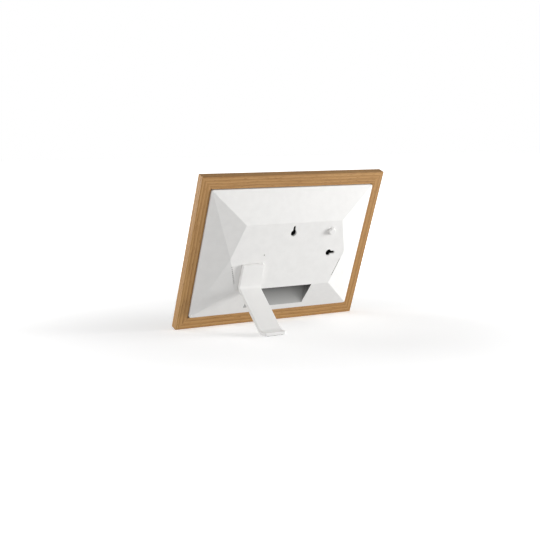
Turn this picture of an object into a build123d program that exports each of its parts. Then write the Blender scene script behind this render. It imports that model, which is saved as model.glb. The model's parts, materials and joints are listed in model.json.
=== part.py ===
from build123d import *
from math import atan2, cos, degrees, radians, sin, tan
import os

# Digital photo frame, millimetres. It stands on its bent strut, leaning back, facing -Y.
# The origin is the middle of its footprint, on the surface that it stands on.
# Sizes of the frame itself are laid out as seen from behind: x to the viewer's right,
# y up the frame from its centre, z out of its back, with 0 at the rear face of the wood.

# Stance
LEAN = 20.2  # of the frame, from upright, degrees
LEG_SLOPE = 44.4  # of the strut's leg, from the surface, degrees

# Wood surround
FRAME_W = 264.0
FRAME_H = 200.2
WOOD_T = 11.0
FACE_W = 20.0  # width of the members, seen from the front
RAIL_BACK_W = 15.5  # width of the rails beside the rebate, seen from behind
STILE_BACK_W = 14.0  # the same for the stiles
LIP_T = 2.4  # wood left in front of the rebate
WOOD_EDGE_R = 1.0
OPENING_EDGE_R = 0.8

# Rear cover
COVER_GAP = 0.7  # between the cover and the wood
COVER_CORNER_R = 2.5
RIM_RISE = 1.5  # from the wood to the foot of the facets
COVER_DEPTH = 16.7  # from the wood to the plateau
COVER_WALL = 2.2
PLATEAU_TOP_W = 140.6
PLATEAU_MID_W = 168.0
PLATEAU_H = 87.0
HOOK_W = 8.0
HOOK_T = 1.4
HOOK_L = 2.8
HOOK_BARB = 0.5
HOOK_SPAN = 80.0  # between neighbouring hooks along an edge

# Port pocket in the lower facet
POCKET_W = 88.4
POCKET_RUN = 31.8  # down the frame from the plateau's lower edge

# Wall keyholes
KEYHOLE_R = 4.1
KEYHOLE_SLOT_W = 3.8
KEYHOLE_TRAVEL = 7.6
KEYHOLE_ROOM = 5.5  # depth for a screw head behind the wall
KEYHOLE_CUP_WALL = 1.0
LANDSCAPE_KEYHOLE = (0.0, 30.0)
PORTRAIT_KEYHOLE = (59.6, 0.0)

# Speaker vents and speakers
VENT_COUNT = 9
VENT_PITCH = 2.8
VENT_R = 0.8
VENT_WALL = 0.8  # left behind a groove in the cover, so that the vents are open to the eye
VENT_INSET = 0.9  # from the crease of the plateau
VENT_GROOVE_SIDE = 0.4  # that the groove is wider than the vents
SPEAKER_W = 16.0
SPEAKER_L = 26.0
SPEAKER_T = 5.0
SPEAKER_CONE_DEPTH = 1.0
SPEAKER_Z = 5.5
SPEAKER_INSET = 2.0  # of its middle, from the crease
GASKET_RIM = 1.4

# Strut
STRAP_W = 30.0
STRAP_T = 4.0
STRAP_PLATE_L = 29.9
STRAP_BEND_R = 4.0
STRUT_PIVOT = (-51.3, -22.8)
FOOT_L = 9.9
FOOT_BEND_R = 10.0
FOOT_CORNER_R = 2.5
PLATE_CORNER_R = 1.2
PAD_L = 24.0
PAD_W = 4.2
PAD_T = 1.2
PAD_DROP = 0.4  # of the pad's sole below the foot

# Strut swivel
SWIVEL_GAP = 0.3  # between the strap and the plateau
SPIGOT_R = 7.0
SPIGOT_FIT = 0.05
COLLAR_R = 11.0
COLLAR_L = 2.0
SPIGOT_STANDOUT = 0.3  # past the collar
WASHER_T = 0.25
RETAINER_R = 10.5
RETAINER_T = 1.6
LUG_W = 5.0
LUG_REACH = 13.5  # from the pivot
STOP_W = 3.0
STOP_GAP = 0.3
SWIVEL_SCREW_CIRCLE_R = 4.0
SWIVEL_SCREW_L = 2.6
SWIVEL_SCREW_HEAD_R = 2.0

# Power button and reset hole
BUTTON_SPOT = (56.5, 30.0)
BUTTON_R = 4.5
BUTTON_PROUD = 3.6
BUTTON_EDGE_R = 0.8
BUTTON_FLANGE_R = 6.0
BUTTON_FLANGE_T = 1.2
BUTTON_STEM_R = 2.0
BUTTON_GAP = 0.3
RESET_SPOT = (-36.8, 2.6)
RESET_HOLE_R = 0.9

# Glass, mat and display, front to back
GLASS_T = 1.8
MAT_T = 0.8
MAT_WINDOW_W = 218.0
MAT_WINDOW_H = 137.0
DISPLAY_W = 229.5
DISPLAY_H = 149.0
PANEL_T = 1.2
BACKLIGHT_T = 1.6

# Inner frame and backplate
SEAT_FIT = 0.2  # around each flat piece that drops into another
GLASS_SIDE_WALL = 3.1  # of the inner frame, beside the glass
GLASS_END_WALL = 2.2  # the same above and below it
BACKPLATE_T = 0.8
BACKPLATE_SCREW_SPAN = 95.0
SKIRT_SEAT = 2.2  # depth of the cover's rim below the rear of the wood
KEY_L = 10.0
KEY_W = 6.0
KEY_T = 1.5
KEY_DEPTH = 7.0  # of its middle, in from the outer edges

# Main board and what it carries
BOARD_LEFT = -42.0
BOARD_RIGHT = 66.0
BOARD_TOP = 38.0
BOARD_T = 1.6
BOARD_Z = 3.5
BOARD_EDGE_GAP = 0.4  # to the ceiling of the port pocket
SWIVEL_ROOM_R = 14.0
BOARD_HOLES = ((-38.5, 34.5), (42.0, 34.5), (-31.0, -37.0), (58.0, -37.5))
STANDOFF_R = 2.8
SCREW_SHANK_R = 1.1
SCREW_HEAD_R = 2.2
SCREW_HEAD_T = 1.3
SCREW_CROSS_W = 0.55
SCREW_CROSS_L = 2.6
SCREW_FIT = 0.15
PORT_SETBACK = 0.2  # of a port's mouth, from the ceiling of the pocket
PORT_FIT = 0.2
JACK_X, JACK_W, JACK_L, JACK_H = 26.0, 6.6, 10.5, 6.0
JACK_BORE_R = 1.8
JACK_PIN_R = 0.65
JACK_BACK_T = 2.2
USB_X, USB_W, USB_L, USB_H = 8.0, 9.0, 7.5, 3.2
USB_WALL = 0.35
USB_CORNER_R = 1.5
USB_TONGUE_T = 0.7
USB_BACK_T = 1.4
CARD_X, CARD_W, CARD_L, CARD_H = -13.0, 14.0, 15.0, 2.0
CARD_MOUTH_W = 11.4
CARD_MOUTH_H = 1.0
CARD_MOUTH_L = 12.0
PROCESSOR_SPOT = (14.0, -8.0)
PROCESSOR_SIZE = 15.0
PROCESSOR_T = 1.3
SHIELD_SIZE = 28.0
SHIELD_H = 3.0
SHIELD_WALL = 0.4
MEMORY_SPOTS = ((38.0, -3.0), (38.0, -20.0))
MEMORY_W, MEMORY_L, MEMORY_T = 8.0, 12.0, 1.1
WIFI_SPOT = (-24.0, 16.0)
WIFI_W, WIFI_L, WIFI_T = 12.0, 16.0, 2.2
INDUCTOR_SPOTS = ((47.0, -35.0), (-20.0, -18.0))
INDUCTOR_SIZE = 6.0
INDUCTOR_H = 2.8
CAPACITOR_SPOTS = ((54.0, -24.0), (46.0, -26.0), (-28.0, -8.0))
CAPACITOR_R = 2.5
CAPACITOR_H = 5.4
SWITCH_SIZE = 6.2
SWITCH_H = 3.4
SWITCH_PLUNGER_R = 1.7
SWITCH_PLUNGER_PROUD = 1.3
SWITCH_PLUNGER_SUNK = 1.4
RESET_SIZE = 4.2
RESET_H = 2.4
RESET_PLUNGER_R = 0.9
RESET_PLUNGER_PROUD = 1.1
RESET_PLUNGER_SUNK = 0.9
PLUNGER_FIT = 0.05
PLUNGER_ROOM = 1.1  # below a plunger at rest
RIBBON_X = 14.0
RIBBON_W = 24.0
RIBBON_T = 0.2
RIBBON_LANDING = 14.0  # stuck flat on the backlight
RIBBON_BEND_R = 1.6
RIBBON_WINDOW_W = 48.0
RIBBON_WINDOW_H = 22.4
CONNECTOR_L = 4.5
CONNECTOR_H = 1.8
SOCKET_SPOTS = ((-39.5, -3.0), (50.0, -10.0))
SOCKET_W = 4.0
SOCKET_L = 5.0
SOCKET_H = 3.0
LEAD_R = 0.8
LEAD_BEND_R = 4.0
LEAD_END_RUN = 6.0  # straight into a socket

# Stance worked out: the wood's rounded lower rear edge and the strut's pad meet the surface.
lean_sin = sin(radians(LEAN))
lean_cos = cos(radians(LEAN))
strap_rear = COVER_DEPTH + SWIVEL_GAP + STRAP_T
bend_y = STRUT_PIVOT[1] - STRAP_PLATE_L / 2
edge_lift = WOOD_EDGE_R * (lean_cos + lean_sin - 1)
foot_top = PAD_DROP + STRAP_T
bend_reach = (bend_y + FRAME_H / 2) * lean_sin + strap_rear * lean_cos
bend_height = (bend_y + FRAME_H / 2) * lean_cos - strap_rear * lean_sin - edge_lift
leg_run = (bend_height - foot_top) / tan(radians(LEG_SLOPE))
tip_reach = bend_reach + leg_run + FOOT_L
front_reach = WOOD_T * lean_cos - edge_lift
corner_y = (front_reach - tip_reach) / 2

up_frame = Vector(0, lean_sin, lean_cos)
back = Plane(
    origin=Vector(0, corner_y, -edge_lift) + up_frame * (FRAME_H / 2),
    x_dir=(-1, 0, 0),
    z_dir=(0, lean_cos, -lean_sin),
)

# Levels through the frame, z
glass_front = LIP_T - WOOD_T
mat_front = glass_front + GLASS_T
panel_front = mat_front + MAT_T
backlight_front = panel_front + PANEL_T
backplate_front = backlight_front + BACKLIGHT_T
backplate_rear = backplate_front + BACKPLATE_T
board_rear = BOARD_Z + BOARD_T
cover_inside = COVER_DEPTH - COVER_WALL

# Outlines that several pieces share
rebate_w = FRAME_W - 2 * STILE_BACK_W
rebate_h = FRAME_H - 2 * RAIL_BACK_W
cover_w = rebate_w - 2 * COVER_GAP
cover_h = rebate_h - 2 * COVER_GAP
skirt_w = cover_w - 2 * COVER_WALL
skirt_h = cover_h - 2 * COVER_WALL
glass_w = rebate_w - 2 * (2 * SEAT_FIT + GLASS_SIDE_WALL)
glass_h = rebate_h - 2 * (2 * SEAT_FIT + GLASS_END_WALL)
pocket_top = -PLATEAU_H / 2
facet_fall = (COVER_DEPTH - RIM_RISE) / ((cover_h - PLATEAU_H) / 2)
pocket_floor = COVER_DEPTH - POCKET_RUN * facet_fall
hook_spots = [
    (x, side * (cover_h / 2 - HOOK_T / 2))
    for x in (-HOOK_SPAN, 0, HOOK_SPAN)
    for side in (1, -1)
]

os.makedirs("parts", exist_ok=True)


def save(part, name):
    """Label a finished piece and write it to its own file."""
    part.label = name
    export_step(part, f"parts/{name}.step")


def spot(x, y, z):
    """A point of the frame's own layout, in the upright frame."""
    return back.from_local_coords(Vector(x, y, z))


def side_point(y, z):
    """The same for the section, as Y and Z of the upright frame."""
    point = spot(0, y, z)
    return (point.Y, point.Z)


# Wood surround -----------------------------------------------------------------------------

key_spots = [
    (x * (FRAME_W / 2 - KEY_DEPTH), y * (FRAME_H / 2 - KEY_DEPTH), -45 * x * y)
    for x in (1, -1)
    for y in (1, -1)
]


def wood_member(outward, half_span, length, back_w):
    """One mitred member, cut from a rebated strip that runs along one side."""
    inward = (spot(*outward, 0) - spot(0, 0, 0)) * -1
    along = inward.cross(back.z_dir)
    middle = spot(outward[0] * half_span, outward[1] * half_span, 0)
    with BuildPart() as member:
        with BuildSketch(Plane(origin=middle, x_dir=inward, z_dir=along)) as section:
            with BuildLine():
                Polyline(
                    (0, 0),
                    (0, -WOOD_T),
                    (FACE_W, -WOOD_T),
                    (FACE_W, glass_front),
                    (back_w, glass_front),
                    (back_w, 0),
                    close=True,
                )
            make_face()
            outer_corners = section.vertices().group_by(Axis.X)[0]
            opening_corner = section.vertices().group_by(Axis.X)[-1].sort_by(Axis.Y)[0]
            fillet(outer_corners, WOOD_EDGE_R)
            fillet(opening_corner, OPENING_EDGE_R)
        extrude(amount=length / 2, both=True)
        for end in (1, -1):
            corner = middle + along * (end * length / 2)
            mitre = Plane(origin=corner, x_dir=back.z_dir, z_dir=along * end + inward)
            split(bisect_by=mitre, keep=Keep.BOTTOM)
        with BuildSketch(back.offset(-(WOOD_T + KEY_T) / 2)):
            for x, y, turn in key_spots:
                with Locations((x, y)):
                    Rectangle(KEY_L, KEY_W, rotation=turn)
        extrude(amount=KEY_T, mode=Mode.SUBTRACT)
    return member.part


save(wood_member((0, 1), FRAME_H / 2, FRAME_W, RAIL_BACK_W), "top_rail")
save(wood_member((0, -1), FRAME_H / 2, FRAME_W, RAIL_BACK_W), "bottom_rail")
save(wood_member((-1, 0), FRAME_W / 2, FRAME_H, STILE_BACK_W), "left_stile")
save(wood_member((1, 0), FRAME_W / 2, FRAME_H, STILE_BACK_W), "right_stile")

with BuildPart() as corner_splines:
    with BuildSketch(back.offset(-(WOOD_T + KEY_T) / 2)):
        for x, y, turn in key_spots:
            with Locations((x, y)):
                Rectangle(KEY_L, KEY_W, rotation=turn)
    extrude(amount=KEY_T)
save(corner_splines.part, "corner_splines")

# Glass, mat and display --------------------------------------------------------------------

with BuildPart() as front_glass:
    with BuildSketch(back.offset(glass_front)):
        Rectangle(glass_w, glass_h)
    extrude(amount=GLASS_T)
save(front_glass.part, "front_glass")

with BuildPart() as mat_board:
    with BuildSketch(back.offset(mat_front)):
        Rectangle(glass_w, glass_h)
        Rectangle(MAT_WINDOW_W, MAT_WINDOW_H, mode=Mode.SUBTRACT)
    extrude(amount=MAT_T)
save(mat_board.part, "mat_board")

with BuildPart() as lcd_panel:
    with BuildSketch(back.offset(panel_front)):
        Rectangle(DISPLAY_W, DISPLAY_H)
    extrude(amount=PANEL_T)
save(lcd_panel.part, "lcd_panel")

with BuildPart() as backlight_unit:
    with BuildSketch(back.offset(backlight_front)):
        Rectangle(DISPLAY_W, DISPLAY_H)
    extrude(amount=BACKLIGHT_T)
save(backlight_unit.part, "backlight_unit")

# Inner frame and backplate -----------------------------------------------------------------

backplate_w = skirt_w - 2 * SEAT_FIT
backplate_h = skirt_h - 2 * SEAT_FIT
screw_row = (DISPLAY_H / 2 + backplate_h / 2) / 2
backplate_screws_at = [
    (x, side * screw_row)
    for x in (-BACKPLATE_SCREW_SPAN, -HOOK_SPAN / 2, HOOK_SPAN / 2, BACKPLATE_SCREW_SPAN)
    for side in (1, -1)
]
band_t = backplate_front - panel_front
pilot_depth = band_t - SEAT_FIT

with BuildPart() as inner_frame:
    with BuildSketch(back.offset(glass_front)):
        RectangleRounded(rebate_w - 2 * SEAT_FIT, rebate_h - 2 * SEAT_FIT, COVER_CORNER_R)
    extrude(amount=-SKIRT_SEAT - glass_front)
    with BuildSketch(back.offset(glass_front)):
        Rectangle(glass_w + 2 * SEAT_FIT, glass_h + 2 * SEAT_FIT)
    extrude(amount=GLASS_T + MAT_T, mode=Mode.SUBTRACT)
    with BuildSketch(back.offset(panel_front)):
        Rectangle(DISPLAY_W + 2 * SEAT_FIT, DISPLAY_H + 2 * SEAT_FIT)
    extrude(amount=band_t, mode=Mode.SUBTRACT)
    with BuildSketch(back.offset(backplate_front)):
        Rectangle(skirt_w, skirt_h)
    extrude(amount=WOOD_T, mode=Mode.SUBTRACT)
    with BuildSketch(back.offset(backplate_front)):
        with Locations(*backplate_screws_at):
            Circle(SCREW_SHANK_R)
    extrude(amount=-pilot_depth, mode=Mode.SUBTRACT)
    with BuildSketch(back.offset(-SKIRT_SEAT)):
        with Locations(*hook_spots):
            Rectangle(HOOK_W + 2 * SEAT_FIT, HOOK_T + 2 * SEAT_FIT)
    extrude(amount=-HOOK_L - SEAT_FIT, mode=Mode.SUBTRACT)
    with BuildSketch(back.offset(-SKIRT_SEAT - HOOK_L - SEAT_FIT)):
        with Locations(*[(x, y - HOOK_BARB * (1 if y > 0 else -1)) for x, y in hook_spots]):
            Rectangle(HOOK_W + 2 * SEAT_FIT, HOOK_T + 2 * SEAT_FIT)
    extrude(amount=HOOK_T + 2 * SEAT_FIT, mode=Mode.SUBTRACT)
save(inner_frame.part, "inner_frame")

ribbon_window_top = BOARD_TOP + 2 * RIBBON_LANDING
with BuildPart() as backplate:
    with BuildSketch(back.offset(backplate_front)):
        Rectangle(backplate_w, backplate_h)
        with Locations(*backplate_screws_at):
            Circle(SCREW_SHANK_R + SCREW_FIT, mode=Mode.SUBTRACT)
        with Locations((RIBBON_X, ribbon_window_top - RIBBON_LANDING)):
            SlotOverall(RIBBON_WINDOW_W, RIBBON_WINDOW_H, mode=Mode.SUBTRACT)
    extrude(amount=BACKPLATE_T)
save(backplate.part, "backplate")


def pan_screws(spots, head_z, shank_l):
    """A set of equal screws, heads seated at head_z and facing the rear."""
    with BuildPart() as screws:
        with BuildSketch(back.offset(head_z)):
            with Locations(*spots):
                Circle(SCREW_HEAD_R)
        extrude(amount=SCREW_HEAD_T)
        with BuildSketch(back.offset(head_z - shank_l)):
            with Locations(*spots):
                Circle(SCREW_SHANK_R)
        extrude(amount=shank_l)
        with BuildSketch(back.offset(head_z + SCREW_HEAD_T / 2)):
            with Locations(*spots):
                Rectangle(SCREW_CROSS_L, SCREW_CROSS_W)
                Rectangle(SCREW_CROSS_W, SCREW_CROSS_L)
        extrude(amount=SCREW_HEAD_T, mode=Mode.SUBTRACT)
    return screws.part


save(
    pan_screws(backplate_screws_at, backplate_rear, BACKPLATE_T + pilot_depth - SEAT_FIT),
    "backplate_screws",
)

# Rear cover --------------------------------------------------------------------------------

half_w, half_h = cover_w / 2, cover_h / 2
cover_corner = Vector(half_w, half_h, RIM_RISE)
top_vertex = Vector(PLATEAU_TOP_W / 2, PLATEAU_H / 2, COVER_DEPTH)
side_vertex = Vector(PLATEAU_MID_W / 2, 0, COVER_DEPTH)


def facet_plane(corners, mirror_x, mirror_y):
    """The plane of one facet, its normal out of the cover."""
    points = [spot(c.X * mirror_x, c.Y * mirror_y, c.Z) for c in corners]
    normal = (points[1] - points[0]).cross(points[2] - points[0])
    if normal.dot(back.z_dir) < 0:
        normal = normal * -1
    return Plane(origin=points[0], x_dir=points[1] - points[0], z_dir=normal)


def mirrored(corner, x=1, y=1):
    return Vector(corner.X * x, corner.Y * y, corner.Z)


facet_planes = []
for y in (1, -1):
    facet_planes.append(facet_plane((cover_corner, mirrored(cover_corner, x=-1), top_vertex), 1, y))
    for x in (1, -1):
        facet_planes.append(facet_plane((cover_corner, top_vertex, side_vertex), x, y))
for x in (1, -1):
    facet_planes.append(facet_plane((cover_corner, mirrored(cover_corner, y=-1), side_vertex), x, 1))


def cover_form(inset, floor):
    """The faceted form of the cover, every face moved in by inset, open end at floor."""
    with BuildPart() as form:
        with BuildSketch(back.offset(floor)):
            RectangleRounded(cover_w - 2 * inset, cover_h - 2 * inset, COVER_CORNER_R - inset)
        extrude(amount=COVER_DEPTH - inset - floor)
        for facet in facet_planes:
            split(bisect_by=facet.offset(-inset), keep=Keep.BOTTOM)
    return form.part


def block(x0, x1, y0, y1, z0, z1):
    """A plain block of the frame's layout, between two limits each way."""
    with BuildPart() as solid:
        with BuildSketch(back.offset(z0)):
            with Locations(((x0 + x1) / 2, (y0 + y1) / 2)):
                Rectangle(x1 - x0, y1 - y0)
        extrude(amount=z1 - z0)
    return solid.part


def keyhole_cup(head, turn):
    """The closed cup behind a keyhole: its outside, and the room inside it."""
    shell = []
    for grow in (KEYHOLE_CUP_WALL, 0):
        with BuildPart() as solid:
            with BuildSketch(back.offset(cover_inside - KEYHOLE_ROOM - grow)):
                with Locations(Location((*head, 0), (0, 0, turn))):
                    with Locations((0, KEYHOLE_TRAVEL / 2)):
                        Rectangle(
                            2 * (KEYHOLE_R + SEAT_FIT + grow),
                            KEYHOLE_TRAVEL + 2 * (KEYHOLE_R + SEAT_FIT + grow),
                        )
            extrude(amount=KEYHOLE_ROOM + grow)
        shell.append(solid.part)
    return shell


crease_run = Vector(PLATEAU_TOP_W / 2 - PLATEAU_MID_W / 2, -PLATEAU_H / 2)
crease_middle = Vector((PLATEAU_TOP_W + PLATEAU_MID_W) / 4, -PLATEAU_H / 4)
crease_along = crease_run.normalized()
crease_inward = Vector(crease_along.Y, -crease_along.X)
vent_middle = crease_middle + crease_inward * VENT_INSET
vent_turn = degrees(atan2(crease_along.Y, crease_along.X))
vent_spots = []
for step in range(VENT_COUNT):
    offset_along = (step - (VENT_COUNT - 1) / 2) * VENT_PITCH
    place = vent_middle + crease_along * offset_along
    vent_spots += [(place.X, place.Y), (-place.X, place.Y)]

port_cutouts = (
    (JACK_X, JACK_W, JACK_H),
    (USB_X, USB_W, USB_H),
    (CARD_X, CARD_W, CARD_H),
)
pivot_x, pivot_y = STRUT_PIVOT
lug_inner = COLLAR_R + STOP_GAP
retainer_front = cover_inside - COLLAR_L - SPIGOT_STANDOUT - RETAINER_T

outer_form = cover_form(0, -SKIRT_SEAT)
cavity = cover_form(COVER_WALL, -SKIRT_SEAT - COVER_WALL)
pocket_box = outer_form & block(
    -POCKET_W / 2 - COVER_WALL,
    POCKET_W / 2 + COVER_WALL,
    pocket_top - POCKET_RUN - COVER_WALL,
    pocket_top + COVER_WALL,
    pocket_floor - COVER_WALL,
    COVER_DEPTH,
)
keyholes = (
    (LANDSCAPE_KEYHOLE, 0),
    (PORTRAIT_KEYHOLE, -90),
)

with BuildPart() as rear_cover:
    add(outer_form)
    add(cavity, mode=Mode.SUBTRACT)
    add(pocket_box)
    with BuildSketch(back.offset(pocket_floor)):
        with Locations((0, pocket_top - POCKET_RUN)):
            Rectangle(POCKET_W, 2 * POCKET_RUN)
    extrude(amount=COVER_DEPTH, mode=Mode.SUBTRACT)
    for port_x, port_w, port_h in port_cutouts:
        with BuildSketch(back.offset(board_rear - PORT_FIT)):
            with Locations((port_x, pocket_top)):
                Rectangle(port_w + 2 * PORT_FIT, 4 * COVER_WALL)
        extrude(amount=port_h + 2 * PORT_FIT, mode=Mode.SUBTRACT)
    for head, turn in keyholes:
        with BuildSketch(back.offset(cover_inside)):
            with Locations(Location((*head, 0), (0, 0, turn))):
                Circle(KEYHOLE_R)
                with Locations((0, KEYHOLE_TRAVEL / 2)):
                    SlotCenterToCenter(KEYHOLE_TRAVEL, KEYHOLE_SLOT_W, rotation=90)
        extrude(amount=COVER_WALL, mode=Mode.SUBTRACT)
    with BuildSketch(back.offset(cover_inside - COLLAR_L)):
        with Locations(STRUT_PIVOT):
            Circle(COLLAR_R)
    extrude(amount=COLLAR_L)
    with BuildSketch(back.offset(retainer_front)):
        with Locations((pivot_x - (LUG_W + STOP_W) / 2 - STOP_GAP, pivot_y + LUG_REACH)):
            Rectangle(STOP_W, 2 * (LUG_REACH - lug_inner))
        with Locations((pivot_x + LUG_REACH, pivot_y - (LUG_W + STOP_W) / 2 - STOP_GAP)):
            Rectangle(2 * (LUG_REACH - lug_inner), STOP_W)
    extrude(amount=cover_inside - retainer_front)
    with BuildSketch(back.offset(cover_inside - COLLAR_L)):
        with Locations(STRUT_PIVOT):
            Circle(SPIGOT_R + SPIGOT_FIT)
    extrude(amount=COLLAR_L + COVER_WALL, mode=Mode.SUBTRACT)
    with BuildSketch(back.offset(cover_inside - COVER_WALL)):
        with Locations(BUTTON_SPOT):
            Circle(BUTTON_R + BUTTON_GAP)
        with Locations(RESET_SPOT):
            Circle(RESET_HOLE_R)
        with Locations(*vent_spots):
            Circle(VENT_R)
    extrude(amount=2 * COVER_WALL, mode=Mode.SUBTRACT)
    with BuildSketch(back.offset(cover_inside)):
        for side in (1, -1):
            groove_at = (side * vent_middle.X, vent_middle.Y, 0)
            with Locations(Location(groove_at, (0, 0, side * vent_turn))):
                SlotCenterToCenter((VENT_COUNT - 1) * VENT_PITCH, 2 * VENT_R + VENT_GROOVE_SIDE)
    extrude(amount=COVER_WALL - VENT_WALL, mode=Mode.SUBTRACT)
    with BuildSketch(back.offset(-SKIRT_SEAT)):
        with Locations(*hook_spots):
            Rectangle(HOOK_W, HOOK_T)
    extrude(amount=-HOOK_L)
    with BuildSketch(back.offset(-SKIRT_SEAT - HOOK_L)):
        with Locations(*[(x, y - HOOK_BARB * (1 if y > 0 else -1)) for x, y in hook_spots]):
            Rectangle(HOOK_W, HOOK_T)
    extrude(amount=HOOK_T / 2)
save(rear_cover.part, "rear_cover")

with BuildPart() as keyhole_cups:
    for head, turn in keyholes:
        cup_outside, cup_room = keyhole_cup(head, turn)
        add(cup_outside)
        add(cup_room, mode=Mode.SUBTRACT)
save(keyhole_cups.part, "keyhole_cups")

# Main board --------------------------------------------------------------------------------

board_bottom = pocket_top + COVER_WALL + BOARD_EDGE_GAP
board_w = BOARD_RIGHT - BOARD_LEFT
board_h = BOARD_TOP - board_bottom

with BuildPart() as main_board:
    with BuildSketch(back.offset(BOARD_Z)):
        with Locations(((BOARD_LEFT + BOARD_RIGHT) / 2, (BOARD_TOP + board_bottom) / 2)):
            Rectangle(board_w, board_h)
        with Locations(STRUT_PIVOT):
            Circle(SWIVEL_ROOM_R, mode=Mode.SUBTRACT)
        with Locations(*BOARD_HOLES):
            Circle(SCREW_SHANK_R + SCREW_FIT, mode=Mode.SUBTRACT)
    extrude(amount=BOARD_T)
save(main_board.part, "main_board")

with BuildPart() as board_standoffs:
    with BuildSketch(back.offset(backplate_rear)):
        with Locations(*BOARD_HOLES):
            RegularPolygon(STANDOFF_R, 6)
            Circle(SCREW_SHANK_R, mode=Mode.SUBTRACT)
    extrude(amount=BOARD_Z - backplate_rear)
save(board_standoffs.part, "board_standoffs")

save(
    pan_screws(BOARD_HOLES, board_rear, BOARD_T + (BOARD_Z - backplate_rear) / 2),
    "board_screws",
)


def chip(spots, width, length, height, name):
    """One or more plain packages on the rear of the board."""
    with BuildPart() as package:
        with BuildSketch(back.offset(board_rear)):
            with Locations(*spots):
                Rectangle(width, length)
        extrude(amount=height)
    save(package.part, name)


chip((PROCESSOR_SPOT,), PROCESSOR_SIZE, PROCESSOR_SIZE, PROCESSOR_T, "processor")
chip(MEMORY_SPOTS, MEMORY_W, MEMORY_L, MEMORY_T, "memory_chips")
chip((WIFI_SPOT,), WIFI_W, WIFI_L, WIFI_T, "wifi_module")

with BuildPart() as processor_shield:
    for size, height, mode in (
        (SHIELD_SIZE, SHIELD_H, Mode.ADD),
        (SHIELD_SIZE - 2 * SHIELD_WALL, SHIELD_H - SHIELD_WALL, Mode.SUBTRACT),
    ):
        with BuildSketch(back.offset(board_rear)):
            with Locations(PROCESSOR_SPOT):
                Rectangle(size, size)
        extrude(amount=height, mode=mode)
save(processor_shield.part, "processor_shield")

with BuildPart() as board_components:
    with BuildSketch(back.offset(board_rear)):
        with Locations(*INDUCTOR_SPOTS):
            Rectangle(INDUCTOR_SIZE, INDUCTOR_SIZE)
    extrude(amount=INDUCTOR_H)
    with BuildSketch(back.offset(board_rear)):
        with Locations(*CAPACITOR_SPOTS):
            Circle(CAPACITOR_R)
    extrude(amount=CAPACITOR_H)
save(board_components.part, "board_components")

# Ports, mouths down in the pocket ----------------------------------------------------------

port_mouth_y = pocket_top + PORT_SETBACK
jack_axis_z = board_rear + JACK_H / 2


def port_plane(x, z):
    """A plane across a port's mouth, its normal down the frame."""
    return Plane(origin=spot(x, port_mouth_y, z), x_dir=(-1, 0, 0), z_dir=up_frame * -1)


with BuildPart() as dc_jack:
    with BuildSketch(port_plane(JACK_X, jack_axis_z)):
        Rectangle(JACK_W, JACK_H)
        Circle(JACK_BORE_R, mode=Mode.SUBTRACT)
        Circle(JACK_PIN_R)
    extrude(amount=JACK_BACK_T - JACK_L)
    with BuildSketch(port_plane(JACK_X, jack_axis_z).offset(JACK_BACK_T - JACK_L)):
        Rectangle(JACK_W, JACK_H)
    extrude(amount=-JACK_BACK_T)
save(dc_jack.part, "dc_jack")

with BuildPart() as usb_socket:
    with BuildSketch(port_plane(USB_X, board_rear + USB_H / 2)):
        RectangleRounded(USB_W, USB_H, USB_CORNER_R)
    extrude(amount=-USB_L)
    with BuildSketch(port_plane(USB_X, board_rear + USB_H / 2)):
        RectangleRounded(
            USB_W - 2 * USB_WALL, USB_H - 2 * USB_WALL, USB_CORNER_R - USB_WALL
        )
    extrude(amount=USB_BACK_T - USB_L, mode=Mode.SUBTRACT)
    with BuildSketch(port_plane(USB_X, board_rear + USB_H / 2)):
        Rectangle(USB_W - USB_H, USB_TONGUE_T)
    extrude(amount=-USB_L)
save(usb_socket.part, "usb_socket")

with BuildPart() as card_slot:
    with BuildSketch(port_plane(CARD_X, board_rear + CARD_H / 2)):
        Rectangle(CARD_W, CARD_H)
    extrude(amount=-CARD_L)
    with BuildSketch(port_plane(CARD_X, board_rear + CARD_H / 2)):
        Rectangle(CARD_MOUTH_W, CARD_MOUTH_H)
    extrude(amount=-CARD_MOUTH_L, mode=Mode.SUBTRACT)
save(card_slot.part, "card_slot")

# Power button and reset --------------------------------------------------------------------


def switch_body(place, size, height, plunger_r, room, name):
    """A push switch on the board, with the hole that its plunger runs in."""
    with BuildPart() as body:
        with BuildSketch(back.offset(board_rear)):
            with Locations(place):
                Rectangle(size, size)
        extrude(amount=height)
        with BuildSketch(back.offset(board_rear + height)):
            with Locations(place):
                Circle(plunger_r + PLUNGER_FIT)
        extrude(amount=-room, mode=Mode.SUBTRACT)
    save(body.part, name)


def plunger(place, radius, low, high, name):
    with BuildPart() as pin:
        with BuildSketch(back.offset(low)):
            with Locations(place):
                Circle(radius)
        extrude(amount=high - low)
    save(pin.part, name)


switch_top = board_rear + SWITCH_H
plunger_tip = switch_top + SWITCH_PLUNGER_PROUD
switch_body(
    BUTTON_SPOT,
    SWITCH_SIZE,
    SWITCH_H,
    SWITCH_PLUNGER_R,
    SWITCH_PLUNGER_SUNK + PLUNGER_ROOM,
    "power_switch",
)
plunger(
    BUTTON_SPOT,
    SWITCH_PLUNGER_R,
    switch_top - SWITCH_PLUNGER_SUNK,
    plunger_tip,
    "power_switch_plunger",
)
reset_top = board_rear + RESET_H
switch_body(
    RESET_SPOT,
    RESET_SIZE,
    RESET_H,
    RESET_PLUNGER_R,
    RESET_H - 2 * PLUNGER_FIT,
    "reset_switch",
)
plunger(
    RESET_SPOT,
    RESET_PLUNGER_R,
    reset_top - RESET_PLUNGER_SUNK,
    reset_top + RESET_PLUNGER_PROUD,
    "reset_plunger",
)

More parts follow.
